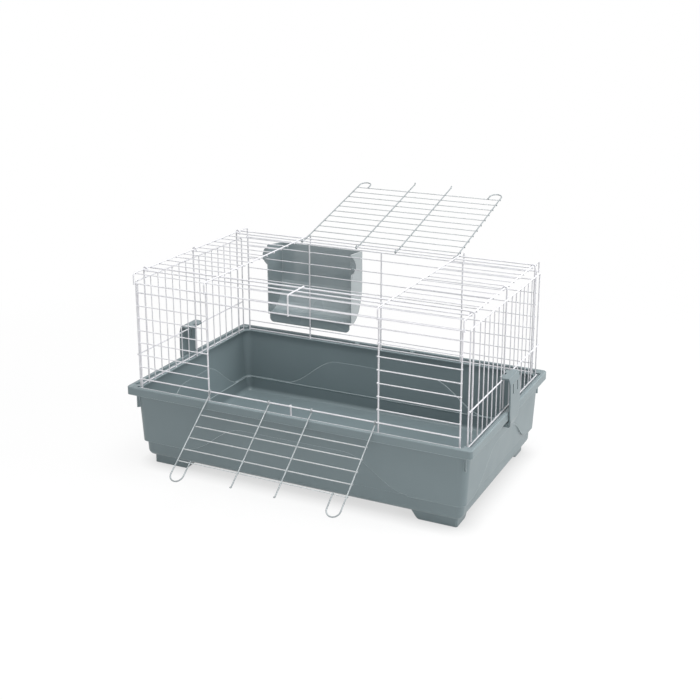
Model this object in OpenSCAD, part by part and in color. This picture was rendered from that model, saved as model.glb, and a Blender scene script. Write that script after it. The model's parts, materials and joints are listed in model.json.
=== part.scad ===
// Rabbit hutch: a moulded base tray with a white welded wire cage clipped on it.
// The cage has a drop-down front door, a lift-up roof door, a hay rack hung on
// the back panel and a latch clip at each end.
// Frame: X along the length (right), Y along the depth (front is -Y), Z up,
// origin on the ground under the middle of the tray. Sizes are in millimetres.

/* [Overall] */
// Length of the tray over its rim
rim_length = 806; // [700:2:1000]
// Width of the tray over its rim
rim_width = 501; // [440:1:600]
// Height of the tray, ground to the top of the rim
tray_height = 188; // [174:1:212]
// Height of the roof wires' centre above the tray's rim
cage_rise = 258; // [235:1:310]

/* [Tray] */
// Wall thickness of the moulding
wall = 3; // [2.5:0.1:4]
// Depth of the lip that hangs down round the rim
lip_drop = 18; // [10:1:24]
// How far the tray wall stands in from the edge of the rim, at its top
wall_inset = 12.5; // [11:0.5:14]
// How much further in the wall is at the step above the base
wall_draft = 7; // [4:0.5:9]
// Height of the step round the base of the wall
step_height = 59; // [52:1:66]
// Clear height under the tray floor, which is the height of the feet
foot_height = 20; // [14:1:22]
// How far the base stands in under the step
base_step = 5.5; // [4:0.1:6]

/* [Cage] */
// Thin wire of the bars
wire_d = 2.3; // [1.8:0.1:2.6]
// Wire of the rails and door wires
rail_d = 3; // [2.6:0.1:3.4]
// Thick wire of the posts
post_d = 3.5; // [3:0.1:4]
// Height of the front door's hinge wire above the bottom rail
hinge_rise = 22; // [20:0.5:24]
// Gap along the length between the door posts and the middle of the cage
door_half = 198.5; // [160:0.5:230]
// Upright bars in each end panel, the two end ones left out
end_bars = 15; // [9:2:17]
// Bars across the roof beside the opening
roof_bars = 10; // [8:1:12]

/* [Doors] */
// Bars across the front door
front_door_bar_count = 5; // [3:1:5]
// Bars across the roof door
roof_door_bar_count = 11; // [7:1:11]
// Play between a hinge eye and its wire, on the radius
hinge_play = 0.08; // [0.04:0.01:0.1]
// Distance of a door's inner wires from the middle
inner_wire = 50; // [35:1:80]
// Radius of the finger loops, to the middle of the wire
loop_r = 15; // [9:1:20]

/* [Hay rack] */
// Width of the rack's mouth
rack_width = 232; // [180:1:256]
// Depth of the rack at its top
rack_depth = 70; // [60:1:100]
// Height of the rack
rack_height = 198; // [170:1:205]
// Wall thickness of the rack
rack_wall = 2.5; // [2:0.1:3]

/* [Clips] */
// Width of a latch clip
clip_width = 62; // [56:1:64]
// Thickness of the clip's lever
clip_wall = 3.2; // [2.5:0.1:3.6]
// Radius of the trunnions that a clip turns on
trunnion_r = 2.5; // [2:0.1:3]

/* [Hidden] */
wire_fn = 16;
corner_fn = 64;
weld = 0.05;
gap = 0.3;
eps = 0.01;
half_l = rim_length / 2;
half_w = rim_width / 2;

// Rim: a flat ridge round the outside and a ledge inside it for the cage's rails.
rim_corner = 9;
ridge = 8;
ledge_drop = 6;
ledge_z = tray_height - ledge_drop;
ledge_in = 22;
rim_wall = 2.6;

// Wall and base, given as distances in from the edge of the rim.
wall_corner = 36;
base_corner = 42;
step_in = wall_inset + wall_draft;
base_in = step_in + base_step;
base_draft = 1.5;
bowl_r = 14;
bowl_z = foot_height + bowl_r;
floor_in = base_in + base_draft + bowl_r;
draft = atan(wall_draft / (ledge_z - wall - step_height));

// Arched recess in each wall: flush with the base at the step, fading out at its top.
arch_depth = base_step - 0.6;
arch_fade = 0.7;
arch_rise = 0.58 * (ledge_z - wall - step_height);
arch_tilt = asin((arch_depth - arch_fade) / arch_rise);
long_arch_foot = 0.65 * half_l;
long_arch_top = 0.3 * half_l;
end_arch_foot = 0.69 * half_w;
end_arch_top = 0.18 * half_w;

// Feet: hollow under the floor, with a cross of ribs inside.
foot_x = 82;
foot_y = 44;
foot_run = 24;
foot_round = 9;
foot_out_x = half_l - floor_in + 1;
foot_out_y = half_w - floor_in + 1;
rib = 2.5;
corner_rib = 8;
corner_rib_z = tray_height - 52;

// Cage: planes of the panels and levels of the rails.
panel_in = 18;
end_in = 19;
front_y = half_w - panel_in;
end_x = half_l - end_in;
corner_x = end_x - 12;
back_mid_x = -6;
end_y = front_y - 11;
rail_off = (post_d + rail_d) / 2 - weld;
bar_off = (post_d + wire_d) / 2 - weld;
rail_y = front_y + rail_off;
bar_y = front_y + bar_off;
bottom_z = ledge_z + rail_d / 2 + weld;
roof_z = tray_height + cage_rise;
top_z = roof_z - 23;
second_z = top_z - 20;
hinge_z = bottom_z + hinge_rise;
bar_pitch = (second_z - hinge_z) / 7.08;
mid_z = hinge_z + 50.5;
lip_y = rail_y + rail_d - weld;
bend_r = 5;

// Roof: wires along X lie under the wires along Y.
hook_r = 4.6;
hook_x = end_x - (rail_d + post_d) / 2 + weld;
edge_x = hook_x - hook_r;
under_rail = roof_z - rail_d + weld;
under_bar = roof_z - (rail_d + wire_d) / 2 + weld;
under_post = roof_z - (rail_d + post_d) / 2 + weld;
roof_front = front_y - 3;
latch_y = roof_front - 57.5;
second_y = latch_y + 27.5;
roof_back = front_y - 20;
roof_hinge = roof_back - 25.5;
roof_pitch = (roof_hinge + latch_y) / (roof_bars + 1);

// Doors.
outer_wire = door_half - 5;
eye = rail_d / 2 + hinge_play + rail_d / 2;
front_open = acos((eye + rail_d / 2 + gap) / norm([half_w - rail_y, hinge_z - tray_height]))
    - atan((half_w - rail_y) / (hinge_z - tray_height));
front_reach = second_z - hinge_z;
roof_reach = roof_hinge + latch_y;
roof_open = asin((eye + rail_d + gap) / (roof_back - roof_hinge));
door_first = 38;
door_pitch = (roof_reach - 2 * door_first) / (roof_door_bar_count - 1);

// Hay rack: its mouth stands against the outside of the back panel.
rack_y = bar_y + wire_d / 2 + gap + 0.4;
rack_x = -door_half - 5.5;
rack_top = second_z + 5;
rack_bottom = rack_top - rack_height;
rack_taper = 3;
rack_fall = 7;
rack_turn = rack_height / 2 + 10;
rack_lip = 20;
lip_in = 5;
lip_round = 11;
hang_z = hinge_z + 6 * bar_pitch;
ear_r = 27;
ear_in = 14;

// Clips.
pivot_z = tray_height - 35;
pivot_x = half_l - 4;
barrel_r = 5;
lug_t = 4;
lug_root = step_in - (pivot_z - step_height) * tan(draft) - 4 + wall / 2;
barrel_half = 12;
lug_y = barrel_half + 0.5 + lug_t / 2;
tongue = 49;
slot_w = 10;
pitch_y = 2 * end_y / (end_bars + 1);
tooth_w = 18;
end_rail_x = end_x + (wire_d + rail_d) / 2 - weld;
tooth_r = norm([pivot_x - end_rail_x, mid_z - pivot_z]) + rail_d / 2 + gap;

// A straight wire along each axis.
module xwire(x0, x1, y, z, d) {
    translate([x0, y, z]) rotate([0, 90, 0]) cylinder(h = x1 - x0, d = d, $fn = wire_fn);
}

module ywire(x, y0, y1, z, d) {
    translate([x, y0, z]) rotate([-90, 0, 0]) cylinder(h = y1 - y0, d = d, $fn = wire_fn);
}

module zwire(x, y, z0, z1, d) {
    translate([x, y, z0]) cylinder(h = z1 - z0, d = d, $fn = wire_fn);
}

// A bend in a wire: an arc in the XY plane from the +X axis, counted anticlockwise.
module bend(r, angle, d) {
    rotate_extrude(angle = angle, $fn = corner_fn) translate([r, 0]) circle(d = d, $fn = wire_fn);
}

// A wall profile (distance out, height) carried round a rectangle of corner centres.
module around(inset) {
    cx = half_l - inset;
    cy = half_w - inset;
    for (q = [0:3]) {
        sx = (q == 0 || q == 3) ? 1 : -1;
        sy = q < 2 ? 1 : -1;
        translate([sx * cx, sy * cy, 0])
            rotate([0, 0, 90 * q])
                rotate_extrude(angle = 90, $fn = corner_fn) children();
    }
    for (turn = [0, 180]) {
        rotate([0, 0, turn]) translate([cx, cy, 0]) rotate([90, 0, 0])
            linear_extrude(height = 2 * cy) children();
        rotate([0, 0, 90 + turn]) translate([cy, cx, 0]) rotate([90, 0, 0])
            linear_extrude(height = 2 * cx) children();
    }
}

// Rim: lip, ridge and the ledge that carries the cage.
module rim() {
    around(rim_corner) polygon([
        [rim_corner, tray_height - lip_drop], [rim_corner, tray_height - 1.5],
        [rim_corner - 1.5, tray_height], [rim_corner - ridge + 1, tray_height],
        [rim_corner - ridge, tray_height - 1], [rim_corner - ridge, ledge_z - wall],
        [rim_corner - ridge + rim_wall, ledge_z - wall],
        [rim_corner - ridge + rim_wall, tray_height - wall],
        [rim_corner - rim_wall, tray_height - wall],
        [rim_corner - rim_wall, tray_height - lip_drop]]);
    around(wall_corner) polygon([
        [wall_corner - ridge + 1, ledge_z - wall], [wall_corner - ridge + 1, ledge_z],
        [wall_corner - ledge_in + 1, ledge_z], [wall_corner - ledge_in, ledge_z - 1],
        [wall_corner - ledge_in, ledge_z - wall]]);
    for (sx = [-1, 1], sy = [-1, 1])
        translate([sx * (half_l - ledge_in / 2 - 2), sy * (half_w - ledge_in / 2 - 2), 0])
            translate([-ledge_in / 2 + 2, -ledge_in / 2 + 2, ledge_z - wall])
                cube([ledge_in - 4, ledge_in - 4, ledge_drop + wall - 1]);
}

// Drafted wall down to the step.
module upper_wall() {
    k = wall_corner;
    around(wall_corner) polygon([
        [k - wall_inset, ledge_z - wall / 2], [k - step_in, step_height - wall],
        [k - base_in - wall - 0.5, step_height - wall], [k - base_in - wall - 0.5, step_height],
        [k - step_in - wall, step_height], [k - wall_inset - wall, ledge_z - wall / 2]]);
}

// Base: a short wall and a bowl-shaped turn into the floor.
module lower_wall() {
    k = base_corner - floor_in;
    around(base_corner) polygon(concat(
        [[k + bowl_r + base_draft, step_height - wall / 2]],
        [for (a = [0:15:90]) [k + bowl_r * cos(a), bowl_z - bowl_r * sin(a)]],
        [[eps, foot_height], [eps, foot_height + wall]],
        [for (a = [90:-15:0]) [k + (bowl_r - wall) * cos(a), bowl_z - (bowl_r - wall) * sin(a)]],
        [[k + bowl_r + base_draft - wall, step_height - wall / 2]]));
}

// Outline of a foot seen from the side, with a curved run-out on its inner end.
module foot_outline(length, run, out, rise, base) {
    polygon(concat([[out, rise], [out - 1, base], [out - 1 - length, base]],
        [for (t = [0:0.125:1]) [out - 1 - length - run * t, rise * (1 - cos(180 * t)) / 2]]));
}

// Block with that outline from both sides, its outer corner rounded.
module foot_block(in, shorter, rise, base) {
    r = foot_round - in;
    x = foot_out_x - in + 0.5;
    y = foot_out_y - in + 0.5;
    intersection() {
        translate([0, half_w, 0]) rotate([90, 0, 0]) linear_extrude(height = half_w)
            foot_outline(foot_x - in - shorter, foot_run - 2 * shorter, foot_out_x - in, rise, base);
        rotate([90, 0, 90]) linear_extrude(height = half_l)
            foot_outline(foot_y - in - shorter, foot_run - 2 * shorter, foot_out_y - in, rise, base);
        translate([0, 0, base - 1]) linear_extrude(height = rise + 3)
            polygon(concat([[0, 0], [x, 0]],
                [for (a = [0:15:90]) [x - r + r * cos(a), y - r + r * sin(a)]], [[0, y]]));
    }
}

// Hollow of a foot, open underneath, less the two ribs that cross in it.
module foot_hollow() {
    difference() {
        foot_block(wall, 1.5 * wall, foot_height, -1);
        translate([foot_out_x - 1 - foot_x / 2 - rib / 2, 0, -2]) cube([rib, half_w, foot_height + 3]);
        translate([0, foot_out_y - 1 - foot_y / 2 - rib / 2, -2]) cube([half_l, rib, foot_height + 3]);
    }
}

module each_corner() {
    for (sx = [0, 1], sy = [0, 1])
        mirror([sx, 0, 0]) mirror([0, sy, 0]) children();
}

// Arch with curved shoulders, carried a little below its foot.
module arch(foot_half, top_half, rise, grow, down) {
    run = foot_half - top_half;
    polygon(concat(
        [[foot_half + grow, -down]],
        [for (t = [0:0.1:1]) [foot_half + grow - run * t, (rise + grow) * (1 - cos(180 * t)) / 2]],
        [for (t = [1:-0.1:0]) [-foot_half - grow + run * t, (rise + grow) * (1 - cos(180 * t)) / 2]],
        [[-foot_half - grow, -down]]));
}

// Recess cut by an arch; its face leans in more than the wall does.
module arch_cut(foot_half, top_half) {
    translate([0, 0, -arch_depth]) rotate([arch_tilt, 0, 0]) linear_extrude(height = arch_depth + 3)
        arch(foot_half, top_half, arch_rise, 0, wall + 1);
}

// Wall behind the recess.
module arch_back(foot_half, top_half) {
    side = foot_half + 3 * wall;
    intersection() {
        translate([0, 0, -arch_depth - wall]) rotate([arch_tilt, 0, 0])
            linear_extrude(height = 3 * arch_depth + 2 * wall)
                arch(foot_half, top_half, arch_rise, wall, wall / 2);
        translate([-side, -3 * wall, -arch_depth - 3 * wall])
            cube([2 * side, arch_rise + 6 * wall, arch_depth + 3 * wall - 0.5]);
    }
}

// Puts its child on the outside of a wall whose rim edge is at the given distance.
module on_wall(turn, reach) {
    rotate([0, 0, turn]) translate([0, -reach + step_in, step_height]) rotate([90 + draft, 0, 0])
        children();
}

module each_wall() {
    for (turn = [0, 180]) {
        on_wall(turn, half_w) children(0);
        on_wall(turn + 90, half_l) children(1);
    }
}

// Lug under the rim, one each side of a clip.
module lugs(sx) {
    for (sy = [-1, 1])
        translate([sx * pivot_x, sy * lug_y, pivot_z]) rotate([90, 0, 0])
            difference() {
                union() {
                    cylinder(h = lug_t, r = barrel_r, center = true, $fn = 48);
                    translate([sx < 0 ? 0 : -lug_root, -barrel_r, -lug_t / 2])
                        cube([lug_root, 2 * barrel_r, lug_t]);
                }
                cylinder(h = lug_t + 2, r = trunnion_r + hinge_play, center = true, $fn = 32);
            }
}

// Rib that braces each corner under the rim.
module corner_brace() {
    translate([half_l - wall_corner, half_w - wall_corner, corner_rib_z]) rotate([0, 0, 45])
        translate([wall_corner - wall_inset - wall + 0.1, -rib / 2, 0])
            cube([corner_rib, rib, ledge_z - wall / 2 - corner_rib_z]);
}

// Nubs that hold the back bottom rail down in the ledge.
module nubs() {
    for (x = [-73, 73])
        translate([x, half_w - ridge - rim_wall / 2, ledge_z + rail_d + gap])
            cylinder(h = ledge_drop - rail_d - gap - 1, r = 5.5, $fn = 32);
}

module base_tray() {
    color([0.44, 0.49, 0.50]) {
        difference() {
            union() {
                rim();
                upper_wall();
                lower_wall();
                translate([-half_l + floor_in + 1.5, -half_w + floor_in + 1.5, foot_height])
                    cube([rim_length - 2 * floor_in - 3, rim_width - 2 * floor_in - 3, wall]);
                each_corner() foot_block(0, 0, foot_height + wall, 0);
                each_wall() {
                    arch_back(long_arch_foot, long_arch_top);
                    arch_back(end_arch_foot, end_arch_top);
                }
                each_corner() corner_brace();
            }
            each_wall() {
                arch_cut(long_arch_foot, long_arch_top);
                arch_cut(end_arch_foot, end_arch_top);
            }
            each_corner() foot_hollow();
        }
        lugs(1);
        lugs(-1);
        nubs();
    }
}

// Front panel.
module front_posts() {
    color([0.93, 0.93, 0.95])
        for (x = [-corner_x, -door_half, door_half, corner_x])
            zwire(x, -front_y, bottom_z - rail_d / 2 + weld, top_z + rail_d / 2, post_d);
}

module front_top_rails() {
    color([0.93, 0.93, 0.95]) {
        xwire(-edge_x - rail_d / 2, edge_x + rail_d / 2, -rail_y, top_z, rail_d);
        xwire(-corner_x - post_d / 2, corner_x + post_d / 2, -rail_y, second_z, rail_d);
    }
}

module front_hinge_rail() {
    color([0.93, 0.93, 0.95])
        xwire(-corner_x - post_d / 2, corner_x + post_d / 2, -rail_y, hinge_z, rail_d);
}

module front_bottom_rail() {
    color([0.93, 0.93, 0.95])
        xwire(-corner_x - post_d / 2, corner_x + post_d / 2, -rail_y, bottom_z, rail_d);
}

module front_bars() {
    for (k = [1:6])
        xwire(-corner_x - post_d / 2, -door_half + post_d / 2, -bar_y, hinge_z + k * bar_pitch, wire_d);
}

module front_left_bars() {
    color([0.93, 0.93, 0.95]) front_bars();
}

module front_right_bars() {
    color([0.93, 0.93, 0.95]) mirror([1, 0, 0]) front_bars();
}

// Middle stiffener: from the roof's latch wire forward, down in front of the top rails.
module front_top_stiffener() {
    color([0.93, 0.93, 0.95]) {
        ywire(0, -lip_y + bend_r, -latch_y + post_d / 2, roof_z, rail_d);
        translate([0, -lip_y + bend_r, roof_z - bend_r]) rotate([0, -90, 0]) rotate([0, 0, -90])
            bend(bend_r, 90, rail_d);
        zwire(0, -lip_y, second_z - rail_d / 2, roof_z - bend_r, rail_d);
    }
}

module front_bottom_stub() {
    color([0.93, 0.93, 0.95])
        zwire(0, -front_y, bottom_z - rail_d / 2 + weld, hinge_z + rail_d / 2, post_d);
}

// Back panel.
module back_posts() {
    color([0.93, 0.93, 0.95])
        for (x = [-corner_x, -door_half, back_mid_x, door_half, corner_x])
            zwire(x, front_y, bottom_z - rail_d / 2 + weld, top_z + rail_d / 2, post_d);
}

module back_rails() {
    color([0.93, 0.93, 0.95]) {
        xwire(-edge_x - rail_d / 2, edge_x + rail_d / 2, rail_y, top_z, rail_d);
        xwire(-corner_x - post_d / 2, corner_x + post_d / 2, rail_y, bottom_z, rail_d);
    }
}

module back_bars() {
    color([0.93, 0.93, 0.95]) {
        for (k = [0:6])
            xwire(-corner_x - post_d / 2, corner_x + post_d / 2, bar_y, hinge_z + k * bar_pitch, wire_d);
        xwire(-corner_x - post_d / 2, corner_x + post_d / 2, bar_y, second_z, wire_d);
    }
}

// End panels, built for the right-hand end.
// The outermost uprights and the top rail are one bent wire.
module end_frame() {
    zwire(end_x, -end_y, bottom_z - rail_d / 2 + weld, top_z - bend_r, rail_d);
    zwire(end_x, end_y, bottom_z - rail_d / 2 + weld, top_z - bend_r, rail_d);
    ywire(end_x, -end_y + bend_r, end_y - bend_r, top_z, rail_d);
    translate([end_x, -end_y + bend_r, top_z - bend_r]) rotate([0, -90, 0]) rotate([0, 0, -90])
        bend(bend_r, 90, rail_d);
    translate([end_x, end_y - bend_r, top_z - bend_r]) rotate([0, -90, 0]) bend(bend_r, 90, rail_d);
}

function is_hook(k) = k == 1 || k == (end_bars + 1) / 2 || k == end_bars;

module end_uprights() {
    for (k = [1:end_bars])
        if (!is_hook(k))
            zwire(end_x, -end_y + k * pitch_y, bottom_z - rail_d / 2 + weld, top_z - rail_d / 2 + weld,
                wire_d);
}

// Thick uprights that stand above the top rail and close over the roof's edge wire.
module end_hooks() {
    lift = hook_r - post_d / 2 - rail_d / 2 + weld;
    for (k = [1, (end_bars + 1) / 2, end_bars])
        translate([0, -end_y + k * pitch_y, 0]) {
            zwire(hook_x, 0, bottom_z - rail_d / 2 + weld, roof_z - lift, post_d);
            translate([edge_x, 0, roof_z - lift]) rotate([90, 0, 0]) bend(hook_r, 180, post_d);
            zwire(edge_x - hook_r, 0, roof_z - lift - 5, roof_z - lift, post_d);
        }
}

module end_rails() {
    ywire(end_rail_x, -end_y - rail_d / 2, end_y + rail_d / 2, mid_z, rail_d);
    ywire(end_rail_x, -end_y - rail_d / 2, end_y + rail_d / 2, bottom_z, rail_d);
}

module right_end_frame() {
    color([0.93, 0.93, 0.95]) end_frame();
}

module right_end_bars() {
    color([0.93, 0.93, 0.95]) end_uprights();
}

module right_end_hooks() {
    color([0.93, 0.93, 0.95]) end_hooks();
}

module right_end_rails() {
    color([0.93, 0.93, 0.95]) end_rails();
}

module left_end_frame() {
    color([0.93, 0.93, 0.95]) mirror([1, 0, 0]) end_frame();
}

module left_end_bars() {
    color([0.93, 0.93, 0.95]) mirror([1, 0, 0]) end_uprights();
}

module left_end_hooks() {
    color([0.93, 0.93, 0.95]) mirror([1, 0, 0]) end_hooks();
}

module left_end_rails() {
    color([0.93, 0.93, 0.95]) mirror([1, 0, 0]) end_rails();
}

// Roof panel. A wire along Y whose ends turn down onto the front and back top rails.
module roof_wire(x) {
    ywire(x, -lip_y + bend_r, lip_y - bend_r, roof_z, rail_d);
    for (side = [0, 1])
        mirror([0, side, 0]) {
            translate([x, -lip_y + bend_r, roof_z - bend_r]) rotate([0, -90, 0]) rotate([0, 0, -90])
                bend(bend_r, 90, rail_d);
            zwire(x, -lip_y, top_z - rail_d / 2, roof_z - bend_r, rail_d);
        }
}

module roof_edge_wires() {
    color([0.93, 0.93, 0.95]) {
        roof_wire(-edge_x);
        roof_wire(edge_x);
    }
}

module roof_opening_wires() {
    color([0.93, 0.93, 0.95]) {
        roof_wire(-door_half);
        roof_wire(door_half);
    }
}

module roof_front_wires() {
    color([0.93, 0.93, 0.95]) {
        xwire(-edge_x - rail_d / 2, edge_x + rail_d / 2, -roof_front, under_bar, wire_d);
        xwire(-edge_x - rail_d / 2, edge_x + rail_d / 2, -second_y, under_rail, rail_d);
        xwire(-edge_x - rail_d / 2, edge_x + rail_d / 2, -latch_y, under_post, post_d);
    }
}

module roof_rear_wires() {
    color([0.93, 0.93, 0.95]) {
        xwire(-edge_x - rail_d / 2, edge_x + rail_d / 2, roof_hinge, under_rail, rail_d);
        xwire(-edge_x - rail_d / 2, edge_x + rail_d / 2, roof_back, under_rail, rail_d);
    }
}

module roof_side_bars() {
    for (k = [1:roof_bars])
        xwire(door_half - rail_d / 2, edge_x + rail_d / 2, -latch_y + k * roof_pitch, under_bar, wire_d);
}

module roof_right_bars() {
    color([0.93, 0.93, 0.95]) roof_side_bars();
}

module roof_left_bars() {
    color([0.93, 0.93, 0.95]) mirror([1, 0, 0]) roof_side_bars();
}

// Doors, drawn flat: hinge axis on X, reaching along +Y, outside face up.
// Each lengthwise wire starts in an eye bent round the hinge wire.
module door_eye(x) {
    translate([x, 0, 0]) rotate([0, -90, 0]) rotate([0, 0, 90]) bend(eye, 270, rail_d);
}

// Inner wire, ending in a latch that turns over the wire it closes on.
module latch_wire(x, reach) {
    turn = rail_d + 0.4 + rail_d / 2;
    door_eye(x);
    ywire(x, 0, reach + turn - eye, eye, rail_d);
    translate([x, reach + turn - eye, 0]) rotate([0, -90, 0]) bend(eye, 90, rail_d);
}

// Outer wire, ending in a finger loop that comes back to the last bar.
module loop_wire(side, tip, last) {
    x = side * outer_wire;
    centre = tip - loop_r - rail_d / 2;
    door_eye(x);
    ywire(x, 0, centre, eye, rail_d);
    translate([x - side * loop_r, centre, eye]) bend(loop_r, 180, rail_d);
    ywire(x - side * 2 * loop_r, last - wire_d, centre, eye, rail_d);
}

module door_wires(reach, tip, last) {
    latch_wire(-inner_wire, reach);
    latch_wire(inner_wire, reach);
    loop_wire(-1, tip, last);
    loop_wire(1, tip, last);
}

module door_bar(s) {
    xwire(-outer_wire - rail_d / 2, outer_wire + rail_d / 2, s, eye + (rail_d + wire_d) / 2 - weld, wire_d);
}

// Front door: closed it stands up; here it hangs open on the tray's rim.
module place_front_door() {
    translate([0, -rail_y, hinge_z]) rotate([180 + front_open, 0, 0]) children();
}

module front_door_wires() {
    color([0.93, 0.93, 0.95])
        place_front_door() door_wires(front_reach, 7.75 * bar_pitch, 6 * bar_pitch);
}

module front_door_bars() {
    color([0.93, 0.93, 0.95])
        place_front_door()
            for (k = [7 - front_door_bar_count:6])
                door_bar(k * bar_pitch);
}

// Roof door: closed it lies on the roof; here it leans open on the back wire.
module place_roof_door() {
    translate([0, roof_hinge, under_rail]) rotate([180 + roof_open, 0, 0]) mirror([0, 1, 0]) children();
}

module roof_door_wires() {
    color([0.93, 0.93, 0.95])
        place_roof_door() door_wires(roof_reach, roof_reach - 11, roof_reach - door_first);
}

module roof_door_bars() {
    color([0.93, 0.93, 0.95])
        place_roof_door()
            for (k = [0:roof_door_bar_count - 1])
                door_bar(door_first + k * door_pitch);
}

// Hay rack: section across its depth, open at the top and towards the cage.
module rack_section(t) {
    d = rack_depth - t;
    low = rack_lip + t;
    flat = 8;
    polygon(concat(
        [[-t, rack_height + t], [d, rack_height - rack_fall + t]],
        [for (a = [0:10:90]) [flat + (d - flat) * cos(a), rack_turn - (rack_turn - low) * sin(a)]],
        [[-t, low]]));
}

// Plan of the rack, which narrows a little towards its back.
module rack_plan(t) {
    w = rack_width / 2 - t;
    polygon([[-w, -t], [w, -t], [w - rack_taper, rack_depth - t], [-w + rack_taper, rack_depth - t]]);
}

module rack_body(t) {
    intersection() {
        translate([-rack_width / 2, 0, 0]) rotate([90, 0, 90]) linear_extrude(height = rack_width)
            rack_section(t);
        translate([0, 0, -1]) linear_extrude(height = rack_height + 10) rack_plan(t);
    }
}

// Flat lip that hangs under the mouth, with rounded lower corners.
module rack_apron() {
    w = rack_width / 2 - lip_in;
    r = lip_round;
    translate([0, rack_wall, 0]) rotate([90, 0, 0]) linear_extrude(height = rack_wall)
        polygon(concat([[w, rack_lip + rack_wall / 2]],
            [for (a = [0:-15:-90]) [w - r + r * cos(a), r + r * sin(a)]],
            [for (a = [-90:-15:-180]) [-w + r + r * cos(a), r + r * sin(a)]],
            [[-w, rack_lip + rack_wall / 2]]));
}

module hay_rack() {
    color([0.44, 0.49, 0.50])
        translate([rack_x, rack_y, rack_bottom])
            difference() {
                union() {
                    difference() {
                        rack_body(0);
                        rack_body(rack_wall);
                    }
                    rack_apron();
                    for (side = [-1, 1])
                        translate([side * (rack_width / 2 - ear_in), 0, hang_z - rack_bottom + 8])
                            rotate([-90, 0, 0]) difference() {
                                cylinder(h = rack_wall, r = ear_r, $fn = 64);
                                translate([side > 0 ? -ear_r - 1 : rack_wall - ear_in, -ear_r - 1, -1])
                                    cube([ear_r + 1 + ear_in - rack_wall, 2 * ear_r + 2, rack_wall + 2]);
                            }
                    for (side = [-1, 1])
                        translate([side * (rack_width / 2 + 6), 0, hang_z - rack_bottom]) rack_hook();
                }
            }
}

// Hook that hangs over a bar of the back panel.
module rack_hook() {
    over = wire_d / 2 + gap;
    reach = rack_y - bar_y + over;
    translate([-4, -reach - 1.6, over]) cube([8, reach + 1.6 + rack_wall, 1.8]);
    translate([-4, -reach - 1.6, -2.5]) cube([8, 1.6, over + 2.5 + 1.8]);
}

// Latch clip for the right-hand end: side view in X and Z.
module clip_section() {
    in = half_l + gap + 0.4;
    t = clip_wall;
    r = tooth_r;
    a0 = atan((pivot_x - end_rail_x + 7) / (mid_z - pivot_z));
    polygon(concat(
        [[pivot_x + barrel_r - 0.2, pivot_z], [in + t, tray_height - lip_drop - 6],
            [in + t + 0.8, tray_height + 8], [in + t + 0.4, mid_z - 30], [in + t - 0.4, mid_z - 8]],
        [for (k = [0:4]) pivot_pt(r + 3.4, -2 + k * (a0 + 2) / 4)],
        [for (k = [4:-1:0]) pivot_pt(r, -1 + k * (a0 + 1) / 4)],
        [[in - 0.6, mid_z - 8], [in + 0.2, mid_z - 30], [in + 0.6, tray_height + 8],
            [in, tray_height - 2], [in, tray_height - lip_drop - 3],
            [pivot_x, pivot_z + barrel_r - 0.4], [pivot_x, pivot_z]]));
}

// Point at a distance and an angle from the pivot, counted from straight up towards the cage.
function pivot_pt(r, a) = [pivot_x - r * sin(a), pivot_z + r * cos(a)];

// Clip seen from outside: straight sides and a rounded tongue round the pivot.
module clip_outline() {
    w = clip_width / 2;
    polygon(concat([[w, mid_z + 20], [-w, mid_z + 20]],
        [for (a = [180:15:360]) [w * cos(a), pivot_z + tongue - 7 + tongue * sin(a)]]));
}

module clip_body() {
    difference() {
        union() {
            intersection() {
                union() {
                    translate([0, clip_width, 0]) rotate([90, 0, 0])
                        linear_extrude(height = 2 * clip_width) clip_section();
                    translate([pivot_x, 0, pivot_z]) rotate([90, 0, 0])
                        cylinder(h = 2 * barrel_half, r = barrel_r, center = true, $fn = 48);
                }
                translate([end_x - 20, 0, 0]) rotate([90, 0, 90])
                    linear_extrude(height = 60) clip_outline();
            }
            translate([pivot_x, 0, pivot_z]) rotate([90, 0, 0])
                cylinder(h = 2 * lug_y + lug_t, r = trunnion_r, center = true, $fn = 32);
        }
        // Room for the lugs beside the barrel.
        for (sy = [-1, 1])
            translate([pivot_x, sy * lug_y, pivot_z]) rotate([90, 0, 0]) difference() {
                cylinder(h = lug_t + 1, r = barrel_r + 1, center = true, $fn = 48);
                cylinder(h = lug_t + 3, r = trunnion_r, center = true, $fn = 32);
            }
        // Gaps in the hook for the upright bars, and a window under each tooth.
        for (y = [-pitch_y, 0, pitch_y])
            translate([end_x - 12, y - (pitch_y - tooth_w) / 2, mid_z - 10])
                cube([12 + wire_d / 2 + 1.2, pitch_y - tooth_w, 30]);
        for (y = [-pitch_y / 2, pitch_y / 2])
            translate([end_x, y - slot_w / 4, mid_z - 32]) cube([30, slot_w / 2, 22]);
    }
}

module right_clip() {
    color([0.40, 0.46, 0.47]) clip_body();
}

module left_clip() {
    color([0.40, 0.46, 0.47]) mirror([1, 0, 0]) clip_body();
}

base_tray();
front_posts();
front_top_rails();
front_hinge_rail();
front_bottom_rail();
front_left_bars();
front_right_bars();
front_top_stiffener();
front_bottom_stub();
back_posts();
back_rails();
back_bars();
left_end_frame();
left_end_bars();
left_end_hooks();
left_end_rails();
right_end_frame();
right_end_bars();
right_end_hooks();
right_end_rails();
roof_edge_wires();
roof_opening_wires();
roof_front_wires();
roof_rear_wires();
roof_left_bars();
roof_right_bars();
front_door_wires();
front_door_bars();
roof_door_wires();
roof_door_bars();
hay_rack();
left_clip();
right_clip();
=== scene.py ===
"""Looks for a rabbit hutch: a moulded tray, a white welded wire cage with two doors,
a hay rack hung behind it and a latch clip at each end. Metres, Z up, front at -Y."""
import json
import math

import bmesh
import bpy
from mathutils import Matrix, Vector


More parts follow.
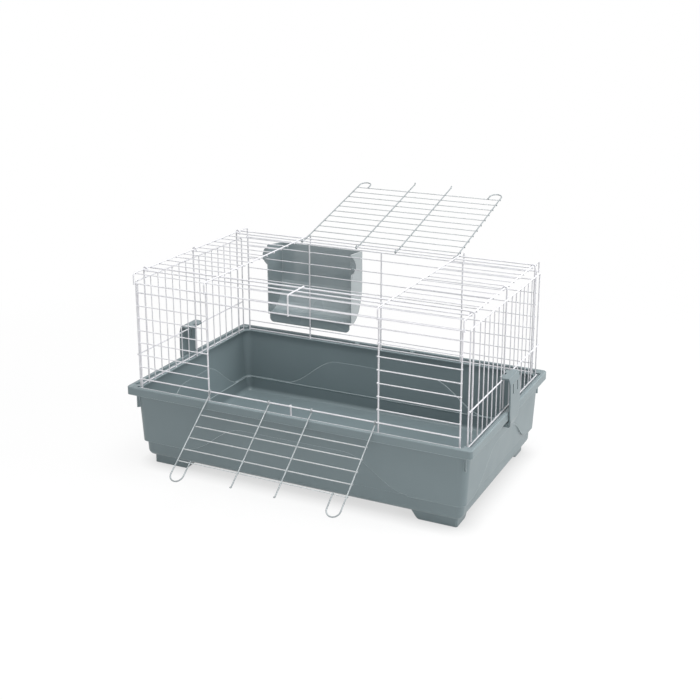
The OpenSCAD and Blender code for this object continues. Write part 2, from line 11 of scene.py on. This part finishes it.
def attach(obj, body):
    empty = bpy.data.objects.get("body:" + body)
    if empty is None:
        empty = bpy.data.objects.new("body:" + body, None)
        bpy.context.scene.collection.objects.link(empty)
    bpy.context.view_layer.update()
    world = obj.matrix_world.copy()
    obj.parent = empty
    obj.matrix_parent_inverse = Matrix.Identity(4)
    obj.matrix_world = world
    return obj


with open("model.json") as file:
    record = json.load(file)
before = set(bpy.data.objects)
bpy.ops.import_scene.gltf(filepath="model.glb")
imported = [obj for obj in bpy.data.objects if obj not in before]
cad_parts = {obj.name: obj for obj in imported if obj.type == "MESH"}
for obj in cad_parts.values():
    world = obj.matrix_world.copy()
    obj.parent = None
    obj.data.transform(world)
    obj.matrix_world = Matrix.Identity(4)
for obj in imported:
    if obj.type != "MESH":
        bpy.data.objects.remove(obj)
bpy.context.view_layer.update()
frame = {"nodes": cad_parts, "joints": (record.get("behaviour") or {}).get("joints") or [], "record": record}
nodes = frame["nodes"]

# ---------------------------------------------------------------- finishes

# Each plastic has a body tone, a deeper tone for its flow clouds and a pale tone that paints a highlight
# along its edges.
TRAY_GREEN_GREY = (0.188, 0.236, 0.250, 1.0)
TRAY_DEEPER = (0.170, 0.215, 0.228, 1.0)
TRAY_EDGE_HIGHLIGHT = (0.460, 0.530, 0.550, 1.0)
RACK_GREEN_GREY = (0.250, 0.298, 0.312, 1.0)
RACK_DEEPER = (0.226, 0.272, 0.286, 1.0)
RACK_EDGE_HIGHLIGHT = (0.520, 0.570, 0.580, 1.0)
CLIP_GREY = (0.186, 0.232, 0.246, 1.0)
CLIP_DEEPER = (0.168, 0.210, 0.224, 1.0)
CLIP_EDGE_HIGHLIGHT = (0.380, 0.430, 0.440, 1.0)
ENAMEL_WHITE = (0.690, 0.690, 0.715, 1.0)
ENAMEL_THIN = (0.615, 0.615, 0.645, 1.0)
ZINC_BRIGHT = (0.37, 0.40, 0.41, 1.0)
ZINC_DULL = (0.24, 0.265, 0.275, 1.0)
# The door bars take a lighter copy of the door wires' zinc, painted in for the brighter light the bars
# catch.
BAR_ZINC_LIT_BRIGHT = (0.56, 0.58, 0.585, 1.0)
BAR_ZINC_LIT_DULL = (0.44, 0.46, 0.47, 1.0)

# How much the patches add to the skin's flow clouds, the least share of an edge that gets the
# painted highlight, and how often an edge is sampled.
PATCH_IN_CLOUDS = 0.2
LEAST_HIGHLIGHT_SHARE = 0.7
EDGE_SAMPLES = 6
# Roughness at the shiniest and the dullest places.
ENAMEL_GLOSSIEST = 0.26
ENAMEL_DULLEST = 0.40
ZINC_GLOSSIEST = 0.34
ZINC_DULLEST = 0.50
# How much one pattern of a coating adds to the other.
PEEL_IN_RELIEF = 0.4
CRYSTAL_IN_SPANGLE = 0.4
FINE_IN_RELIEF = 0.5
# Shine of the tray and clips, shine of the enamel, and how far the zinc reads as bare metal.
PLASTIC_SHINE = 0.32
ENAMEL_SHINE = 0.35
ZINC_METAL = 0.3
# The hay rack is glossier: a clear coat of this roughness lies over its skin.
RACK_COAT_ROUGHNESS = 0.10


def new_group(name, inputs, outputs):
    """A shader node group with the named sockets; gives back its tree, inlet and outlet."""
    tree = bpy.data.node_groups.new(name, "ShaderNodeTree")
    for label, kind, start in inputs:
        socket = tree.interface.new_socket(label, in_out="INPUT", socket_type=kind)
        socket.default_value = start
    for label, kind in outputs:
        tree.interface.new_socket(label, in_out="OUTPUT", socket_type=kind)
    return tree, tree.nodes.new("NodeGroupInput"), tree.nodes.new("NodeGroupOutput")


def feed(tree, socket, value):
    """Sets a socket to a number, or links it to another socket."""
    if isinstance(value, (int, float)):
        socket.default_value = value
    else:
        tree.links.new(value, socket)


def noise(tree, place, scale, detail, rough):
    """Noise over a piece's own coordinates, counted in grains per metre."""
    node = tree.nodes.new("ShaderNodeTexNoise")
    node.inputs["Detail"].default_value = detail
    node.inputs["Roughness"].default_value = rough
    tree.links.new(place, node.inputs["Vector"])
    feed(tree, node.inputs["Scale"], scale)
    return node.outputs["Fac"]


def spread(tree, value, low, high, start=0.0, end=1.0):
    """Carries a value from one range to another; the new ends may be sockets."""
    node = tree.nodes.new("ShaderNodeMapRange")
    tree.links.new(value, node.inputs["Value"])
    node.inputs["From Min"].default_value = start
    node.inputs["From Max"].default_value = end
    feed(tree, node.inputs["To Min"], low)
    feed(tree, node.inputs["To Max"], high)
    return node.outputs["Result"]


def blend_colours(tree, amount, first, second):
    """The first colour where the amount is nought, the second where it is one."""
    node = tree.nodes.new("ShaderNodeMix")
    node.data_type = "RGBA"
    tree.links.new(amount, node.inputs["Factor"])
    tree.links.new(first, node.inputs["A"])
    tree.links.new(second, node.inputs["B"])
    return node.outputs["Result"]


def reckon(tree, operation, first, second, third=0.0):
    """One sum of up to three numbers or sockets."""
    node = tree.nodes.new("ShaderNodeMath")
    node.operation = operation
    for i, value in enumerate((first, second, third)):
        feed(tree, node.inputs[i], value)
    return node.outputs["Value"]


def build_soft_edges():
    """Moulded edges are never sharp: rounds them in the light and marks them for a painted highlight."""
    tree, inlet, outlet = new_group(
        "soft_edges",
        [("Radius", "NodeSocketFloat", 0.002), ("Gain", "NodeSocketFloat", 3.0)],
        [("Edge", "NodeSocketFloat"), ("Normal", "NodeSocketVector")])
    rounded = tree.nodes.new("ShaderNodeBevel")
    rounded.samples = EDGE_SAMPLES
    tree.links.new(inlet.outputs["Radius"], rounded.inputs["Radius"])
    face = tree.nodes.new("ShaderNodeNewGeometry").outputs["Normal"]
    turned = tree.nodes.new("ShaderNodeVectorMath")
    turned.operation = "DOT_PRODUCT"
    tree.links.new(rounded.outputs["Normal"], turned.inputs[0])
    tree.links.new(face, turned.inputs[1])
    away = reckon(tree, "SUBTRACT", 1.0, turned.outputs["Value"])
    mark = reckon(tree, "MULTIPLY", away, inlet.outputs["Gain"])
    mark.node.use_clamp = True
    tree.links.new(mark, outlet.inputs["Edge"])
    tree.links.new(rounded.outputs["Normal"], outlet.inputs["Normal"])
    return tree


def build_moulded_skin():
    """Injection-moulded skin: slow flow clouds, fine spark grain, uneven gloss, edges painted pale as a
    highlight.
    """
    tree, inlet, outlet = new_group(
        "moulded_skin",
        [("Plastic", "NodeSocketColor", TRAY_GREEN_GREY),
         ("Deeper", "NodeSocketColor", TRAY_DEEPER),
         ("Highlight", "NodeSocketColor", TRAY_EDGE_HIGHLIGHT),
         ("Edge", "NodeSocketFloat", 0.0),
         ("Grain", "NodeSocketFloat", 1400.0),
         ("Gloss Low", "NodeSocketFloat", 0.30),
         ("Gloss High", "NodeSocketFloat", 0.42)],
        [("Colour", "NodeSocketColor"), ("Roughness", "NodeSocketFloat"),
         ("Height", "NodeSocketFloat")])
    place = tree.nodes.new("ShaderNodeTexCoord").outputs["Object"]
    flow = noise(tree, place, scale=7.0, detail=2.0, rough=0.45)
    patch = noise(tree, place, scale=16.0, detail=1.0, rough=0.4)
    grain = noise(tree, place, inlet.outputs["Grain"], detail=2.0, rough=0.5)
    clouds = reckon(tree, "MULTIPLY_ADD", patch, PATCH_IN_CLOUDS, flow)
    amount = spread(tree, clouds, 0.0, 1.0, start=0.3, end=1.0)
    body = blend_colours(tree, amount, inlet.outputs["Plastic"], inlet.outputs["Deeper"])
    # Edges blend towards the pale colour: a painted highlight, thinned at random by the patches.
    highlight_share = reckon(tree, "MULTIPLY", inlet.outputs["Edge"],
                     spread(tree, patch, LEAST_HIGHLIGHT_SHARE, 1.0, start=0.35, end=0.65))
    tree.links.new(blend_colours(tree, highlight_share, body, inlet.outputs["Highlight"]),
                   outlet.inputs["Colour"])
    tree.links.new(spread(tree, patch, inlet.outputs["Gloss Low"], inlet.outputs["Gloss High"]),
                   outlet.inputs["Roughness"])
    tree.links.new(grain, outlet.inputs["Height"])
    return tree


def build_dipped_enamel():
    """Dipped enamel on wire: soft sags, thin places and a slight peel."""
    tree, inlet, outlet = new_group(
        "dipped_enamel",
        [("Enamel", "NodeSocketColor", ENAMEL_WHITE), ("Thin", "NodeSocketColor", ENAMEL_THIN),
         ("Peel", "NodeSocketFloat", 700.0)],
        [("Colour", "NodeSocketColor"), ("Roughness", "NodeSocketFloat"),
         ("Height", "NodeSocketFloat")])
    place = tree.nodes.new("ShaderNodeTexCoord").outputs["Object"]
    sag = noise(tree, place, scale=60.0, detail=2.0, rough=0.5)
    peel = noise(tree, place, inlet.outputs["Peel"], detail=2.0, rough=0.5)
    thin = spread(tree, sag, 0.0, 1.0, start=0.3, end=0.8)
    tree.links.new(blend_colours(tree, thin, inlet.outputs["Enamel"], inlet.outputs["Thin"]),
                   outlet.inputs["Colour"])
    tree.links.new(spread(tree, peel, ENAMEL_GLOSSIEST, ENAMEL_DULLEST),
                   outlet.inputs["Roughness"])
    tree.links.new(reckon(tree, "MULTIPLY_ADD", peel, PEEL_IN_RELIEF, sag),
                   outlet.inputs["Height"])
    return tree


def build_zinc_plate():
    """Bright zinc on wire: small crystals, dull patches and a fine roughness."""
    tree, inlet, outlet = new_group(
        "zinc_plate",
        [("Bright", "NodeSocketColor", ZINC_BRIGHT), ("Dull", "NodeSocketColor", ZINC_DULL),
         ("Crystals", "NodeSocketFloat", 900.0)],
        [("Colour", "NodeSocketColor"), ("Roughness", "NodeSocketFloat"),
         ("Height", "NodeSocketFloat")])
    place = tree.nodes.new("ShaderNodeTexCoord").outputs["Object"]
    crystal = tree.nodes.new("ShaderNodeTexVoronoi")
    tree.links.new(place, crystal.inputs["Vector"])
    tree.links.new(inlet.outputs["Crystals"], crystal.inputs["Scale"])
    patch = noise(tree, place, scale=90.0, detail=3.0, rough=0.55)
    fine = noise(tree, place, scale=2200.0, detail=1.0, rough=0.5)
    spangle = reckon(tree, "MULTIPLY_ADD", crystal.outputs["Distance"], CRYSTAL_IN_SPANGLE, patch)
    dulled = spread(tree, spangle, 0.0, 1.0, start=0.35, end=0.9)
    tree.links.new(blend_colours(tree, dulled, inlet.outputs["Bright"], inlet.outputs["Dull"]),
                   outlet.inputs["Colour"])
    tree.links.new(spread(tree, patch, ZINC_GLOSSIEST, ZINC_DULLEST, start=0.3, end=0.7),
                   outlet.inputs["Roughness"])
    tree.links.new(reckon(tree, "MULTIPLY_ADD", fine, FINE_IN_RELIEF,
                          crystal.outputs["Distance"]),
                   outlet.inputs["Height"])
    return tree


SOFT_EDGES = build_soft_edges()
SKIN = build_moulded_skin()
ENAMEL = build_dipped_enamel()
ZINC = build_zinc_plate()


def finish_material(name, group, colours, values, relief, soft=None):
    """A material whose colour, gloss and relief come from one of the groups.

    The relief is a strength and a depth; the soft edges are a radius and the gain of their painted
    highlight.
    """
    material = bpy.data.materials.new(name)
    material.use_nodes = True
    tree = material.node_tree
    shader = tree.nodes["Principled BSDF"]
    effect = tree.nodes.new("ShaderNodeGroup")
    effect.node_tree = group
    for label, value in {**colours, **values}.items():
        effect.inputs[label].default_value = value
    bump = tree.nodes.new("ShaderNodeBump")
    strength, depth = relief
    bump.inputs["Strength"].default_value = strength
    bump.inputs["Distance"].default_value = depth
    tree.links.new(effect.outputs["Height"], bump.inputs["Height"])
    if soft:
        edges = tree.nodes.new("ShaderNodeGroup")
        edges.node_tree = SOFT_EDGES
        radius, gain = soft
        edges.inputs["Radius"].default_value = radius
        edges.inputs["Gain"].default_value = gain
        tree.links.new(edges.outputs["Edge"], effect.inputs["Edge"])
        tree.links.new(edges.outputs["Normal"], bump.inputs["Normal"])
    tree.links.new(bump.outputs["Normal"], shader.inputs["Normal"])
    tree.links.new(effect.outputs["Colour"], shader.inputs["Base Color"])
    tree.links.new(effect.outputs["Roughness"], shader.inputs["Roughness"])
    return material, shader


tray_plastic, tray_shader = finish_material(
    "tray_plastic", SKIN,
    {"Plastic": TRAY_GREEN_GREY, "Deeper": TRAY_DEEPER, "Highlight": TRAY_EDGE_HIGHLIGHT},
    {"Grain": 1400.0, "Gloss Low": 0.30, "Gloss High": 0.42},
    relief=(0.10, 0.0002), soft=(0.0024, 4.2))
tray_shader.inputs["Specular IOR Level"].default_value = PLASTIC_SHINE
rack_plastic, rack_shader = finish_material(
    "rack_plastic", SKIN,
    {"Plastic": RACK_GREEN_GREY, "Deeper": RACK_DEEPER, "Highlight": RACK_EDGE_HIGHLIGHT},
    {"Grain": 1700.0, "Gloss Low": 0.24, "Gloss High": 0.34},
    relief=(0.08, 0.0002), soft=(0.002, 2.5))
rack_shader.inputs["Coat Weight"].default_value = 1.0
rack_shader.inputs["Coat Roughness"].default_value = RACK_COAT_ROUGHNESS
clip_plastic, clip_shader = finish_material(
    "clip_plastic", SKIN,
    {"Plastic": CLIP_GREY, "Deeper": CLIP_DEEPER, "Highlight": CLIP_EDGE_HIGHLIGHT},
    {"Grain": 1800.0, "Gloss Low": 0.28, "Gloss High": 0.38},
    relief=(0.08, 0.0002), soft=(0.0015, 2.5))
clip_shader.inputs["Specular IOR Level"].default_value = PLASTIC_SHINE
white_wire, enamel_shader = finish_material(
    "white_wire", ENAMEL, {"Enamel": ENAMEL_WHITE, "Thin": ENAMEL_THIN}, {"Peel": 700.0},
    relief=(0.25, 0.0002))
enamel_shader.inputs["Specular IOR Level"].default_value = ENAMEL_SHINE
plated_wire, zinc_shader = finish_material(
    "plated_wire", ZINC, {"Bright": ZINC_BRIGHT, "Dull": ZINC_DULL}, {"Crystals": 900.0},
    relief=(0.15, 0.0001))
zinc_shader.inputs["Metallic"].default_value = ZINC_METAL
# A lighter copy of the door zinc for the bars: painted light.
plated_bar_lit_copy, bar_shader = finish_material(
    "plated_bar_lit_copy", ZINC, {"Bright": BAR_ZINC_LIT_BRIGHT, "Dull": BAR_ZINC_LIT_DULL},
    {"Crystals": 1100.0}, relief=(0.15, 0.0001))
bar_shader.inputs["Metallic"].default_value = ZINC_METAL

FINISHES = {"tray_plastic": tray_plastic, "rack_plastic": rack_plastic,
            "clip_plastic": clip_plastic, "white_wire": white_wire, "plated_wire": plated_wire}
slot_of = {part["node"]: part["material_slot"] for part in frame["record"]["subparts"]}

for node_name, node_piece in nodes.items():
    finish = plated_bar_lit_copy if node_name.endswith("door_bars") else FINISHES[slot_of[node_name]]
    for slot in node_piece.material_slots:
        slot.material = finish

# ---------------------------------------------------------------- welds

# Half the size of a weld bead along the wires and from one wire to the other.
WELD_ALONG = 0.0019
WELD_OUT = 0.0010
# Wires count as welded where the gap is no wider, the crossing no broader and the overlap no
# deeper than this.
WIDEST_GAP = 0.0002
BROADEST_CROSSING = 0.006
DEEPEST_OVERLAP = 0.0006
# Open, the front door hangs this far below level and the roof door stands this far above it.
FRONT_DOOR_DROP_DEG = 37.586
ROOF_DOOR_RISE_DEG = 14.49
# The turn from there that lays each door flat in its closed place.
CLOSED_DEG = {"front_door_hinge": 90.0 + FRONT_DOOR_DROP_DEG,
              "roof_door_hinge": 180.0 - ROOF_DOOR_RISE_DEG}


def wires_of(piece, turn):
    """The boxes of a node's separate wires, after turning the node flat."""
    mesh = bmesh.new()
    mesh.from_mesh(piece.data)
    bmesh.ops.transform(mesh, matrix=turn, verts=mesh.verts)
    boxes = []
    seen = set()
    for start in mesh.verts:
        if start in seen:
            continue
        group = [start]
        seen.add(start)
        for vert in group:
            for edge in vert.link_edges:
                other = edge.other_vert(vert)
                if other not in seen:
                    seen.add(other)
                    group.append(other)
        low = Vector(min(v.co[i] for v in group) for i in range(3))
        high = Vector(max(v.co[i] for v in group) for i in range(3))
        boxes.append((low, high))
    mesh.free()
    return boxes


def crossing(first, second):
    """Where two wires touch and the axis from one to the other, or None."""
    first_low, first_high = first
    second_low, second_high = second
    low = [max(first_low[i], second_low[i]) for i in range(3)]
    high = [min(first_high[i], second_high[i]) for i in range(3)]
    size = [high[i] - low[i] for i in range(3)]
    if min(size) < -WIDEST_GAP or sorted(size)[1] > BROADEST_CROSSING:
        return None
    out = size.index(min(size))
    if size[out] > DEEPEST_OVERLAP:
        return None
    return Vector((low[i] + high[i]) / 2 for i in range(3)), out


def weld_beads(name, body, node_names, slot_name, turn=None):
    """Small coated beads where the wires of one body cross, all in one piece."""
    turn = turn or Matrix.Identity(4)
    back = turn.inverted()
    wires = [box for n in node_names for box in wires_of(nodes[n], turn)]
    bead = bmesh.new()
    for i, first in enumerate(wires):
        for second in wires[i + 1:]:
            found = crossing(first, second)
            if found is None:
                continue
            centre, out = found
            scale = [WELD_ALONG] * 3
            scale[out] = WELD_OUT
            shape = back @ Matrix.Translation(centre) @ Matrix.Diagonal((*scale, 1.0))
            bmesh.ops.create_icosphere(bead, subdivisions=2, radius=1.0, matrix=shape)
    mesh = bpy.data.meshes.new(name)
    bead.to_mesh(mesh)
    bead.free()
    piece = bpy.data.objects.new(name, mesh)
    bpy.context.scene.collection.objects.link(piece)
    mesh.materials.append(FINISHES[slot_name])
    mesh.polygons.foreach_set("use_smooth", [True] * len(mesh.polygons))
    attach(piece, body)


def closing_turn(joint_name):
    """The turn that lays a door flat in its closed place."""
    joint = next(j for j in frame["joints"] if j["name"] == joint_name)
    spot = Vector(joint["pos_m"])
    angle = math.radians(CLOSED_DEG[joint_name])
    return (Matrix.Translation(spot) @ Matrix.Rotation(angle, 4, Vector(joint["axis"]))
            @ Matrix.Translation(-spot))


cage_nodes = [n for n in nodes if slot_of[n] == "white_wire"]
weld_beads("cage_welds", "hutch", cage_nodes, "white_wire")
weld_beads("front_door_welds", "front_door", ["front_door_wires", "front_door_bars"],
           "plated_wire", closing_turn("front_door_hinge"))
weld_beads("roof_door_welds", "roof_door", ["roof_door_wires", "roof_door_bars"],
           "plated_wire", closing_turn("roof_door_hinge"))

# ---------------------------------------------------------------- room and light


def seen_straight(tree):
    """One where a camera, glossy or transmission ray looks, nought for other light."""
    path = tree.nodes.new("ShaderNodeLightPath")
    seen = reckon(tree, "MAXIMUM", path.outputs["Is Camera Ray"], path.outputs["Is Glossy Ray"])
    return reckon(tree, "MAXIMUM", seen, path.outputs["Is Transmission Ray"])


def matt_paint(tree, tone):
    """A grey that scatters light and has no shine."""
    paint = tree.nodes.new("ShaderNodeBsdfDiffuse")
    paint.inputs["Color"].default_value = (tone, tone, tone, 1.0)
    return paint.outputs["BSDF"]


def join(tree, amount, first, second):
    """Two shaders mixed by an amount, the second one where it is one."""
    node = tree.nodes.new("ShaderNodeMixShader")
    tree.links.new(amount, node.inputs["Fac"])
    tree.links.new(first, node.inputs[1])
    tree.links.new(second, node.inputs[2])
    return node.outputs["Shader"]


# The floor's size, and how far it lies below the feet.
FLOOR_SIDE = 40.0
FLOOR_DROP = 0.0005
# Its paint where it is looked at, and where it throws light back on the hutch.
FLOOR_WHITE = 0.90
FLOOR_THROW = 0.72
# The share of even glow near the hutch, and the distance from which the rest fades into it.
GLOW_NEAR = 0.88
SHADOW_REACH = 0.8
# How dark and how wide the painted shade close to the hutch is, and how often it is sampled.
CONTACT_TONE = 0.74
CONTACT_REACH = 0.045
CONTACT_SAMPLES = 16
# How open the floor is where that shade is full, and where it has gone.
SHADE_FULL = 0.2
SHADE_GONE = 0.95
# The air's strength where it lights the hutch; it reads white where it is looked at.
AIR_LIGHT = 0.24


def white_ground():
    """A floor that reads white, with a trace of the hutch's real shadow and a painted shade near it."""
    material = bpy.data.materials.new("studio_floor")
    material.use_nodes = True
    tree = material.node_tree
    tree.nodes.remove(tree.nodes["Principled BSDF"])
    contact = tree.nodes.new("ShaderNodeAmbientOcclusion")
    contact.samples = CONTACT_SAMPLES
    contact.inputs["Distance"].default_value = CONTACT_REACH
    glow = tree.nodes.new("ShaderNodeEmission")
    # The occlusion darkens the glow close to the hutch: a painted shade.
    shade = spread(tree, contact.outputs["AO"], CONTACT_TONE, 1.0,
                   start=SHADE_FULL, end=SHADE_GONE)
    tree.links.new(shade, glow.inputs["Strength"])
    place = tree.nodes.new("ShaderNodeTexCoord").outputs["Object"]
    far = tree.nodes.new("ShaderNodeVectorMath")
    far.operation = "LENGTH"
    tree.links.new(place, far.inputs[0])
    share = spread(tree, far.outputs["Value"], GLOW_NEAR, 1.0,
                   start=SHADOW_REACH, end=2 * SHADOW_REACH)
    looks = join(tree, share, matt_paint(tree, FLOOR_WHITE), glow.outputs["Emission"])
    whole = join(tree, seen_straight(tree), matt_paint(tree, FLOOR_THROW), looks)
    tree.links.new(whole, tree.nodes["Material Output"].inputs["Surface"])
    return material


bpy.ops.mesh.primitive_plane_add(size=FLOOR_SIDE, location=(0, 0, -FLOOR_DROP))
floor = bpy.context.object
floor.name = "studio_floor"
floor.data.materials.append(white_ground())

scene = bpy.context.scene
world = bpy.data.worlds.new("studio_air")
scene.world = world
world.use_nodes = True
air = world.node_tree
background = air.nodes["Background"]
background.inputs["Color"].default_value = (1.0, 1.0, 1.0, 1.0)
air.links.new(spread(air, seen_straight(air), AIR_LIGHT, 1.0), background.inputs["Strength"])


def softbox(name, place, aim, width, height, watts):
    """A white lamp with a flat face of that size, turned towards its aim."""
    lamp = bpy.data.lights.new(name, "AREA")
    lamp.shape = "RECTANGLE"
    lamp.size = width
    lamp.size_y = height
    lamp.energy = watts
    rig = bpy.data.objects.new(name, lamp)
    scene.collection.objects.link(rig)
    rig.location = place
    rig.rotation_euler = (Vector(aim) - Vector(place)).to_track_quat("-Z", "Y").to_euler()


softbox("key_right", (2.9, 1.0, 1.35), (0.2, 0.0, 0.15), width=1.5, height=1.3, watts=58.0)
softbox("top_soft", (0.35, -0.2, 2.7), (0.0, 0.0, 0.2), width=2.0, height=1.8, watts=78.0)
softbox("low_front", (0.7, -3.0, 0.75), (0.0, 0.0, 0.15), width=2.2, height=0.8, watts=27.0)

# ---------------------------------------------------------------- camera

# How far the camera looks down, and how far it is swung round from the front.
DIP_DEG = 15.708
SWING_DEG = 25.784
SENSOR_MM = 36.0
LENS_MM = 59.78
FRAME_SHIFT = -0.1
STANDPOINT = (1.0850, -2.1970, 1.1059)

camera = bpy.data.cameras.new("view")
camera.sensor_width = SENSOR_MM
camera.lens = LENS_MM
camera.shift_y = FRAME_SHIFT
camera_rig = bpy.data.objects.new("view", camera)
scene.collection.objects.link(camera_rig)
camera_rig.location = STANDPOINT
camera_rig.rotation_euler = (math.radians(90.0 - DIP_DEG), 0.0, math.radians(SWING_DEG))
scene.camera = camera_rig
scene.view_settings.view_transform = "Standard"
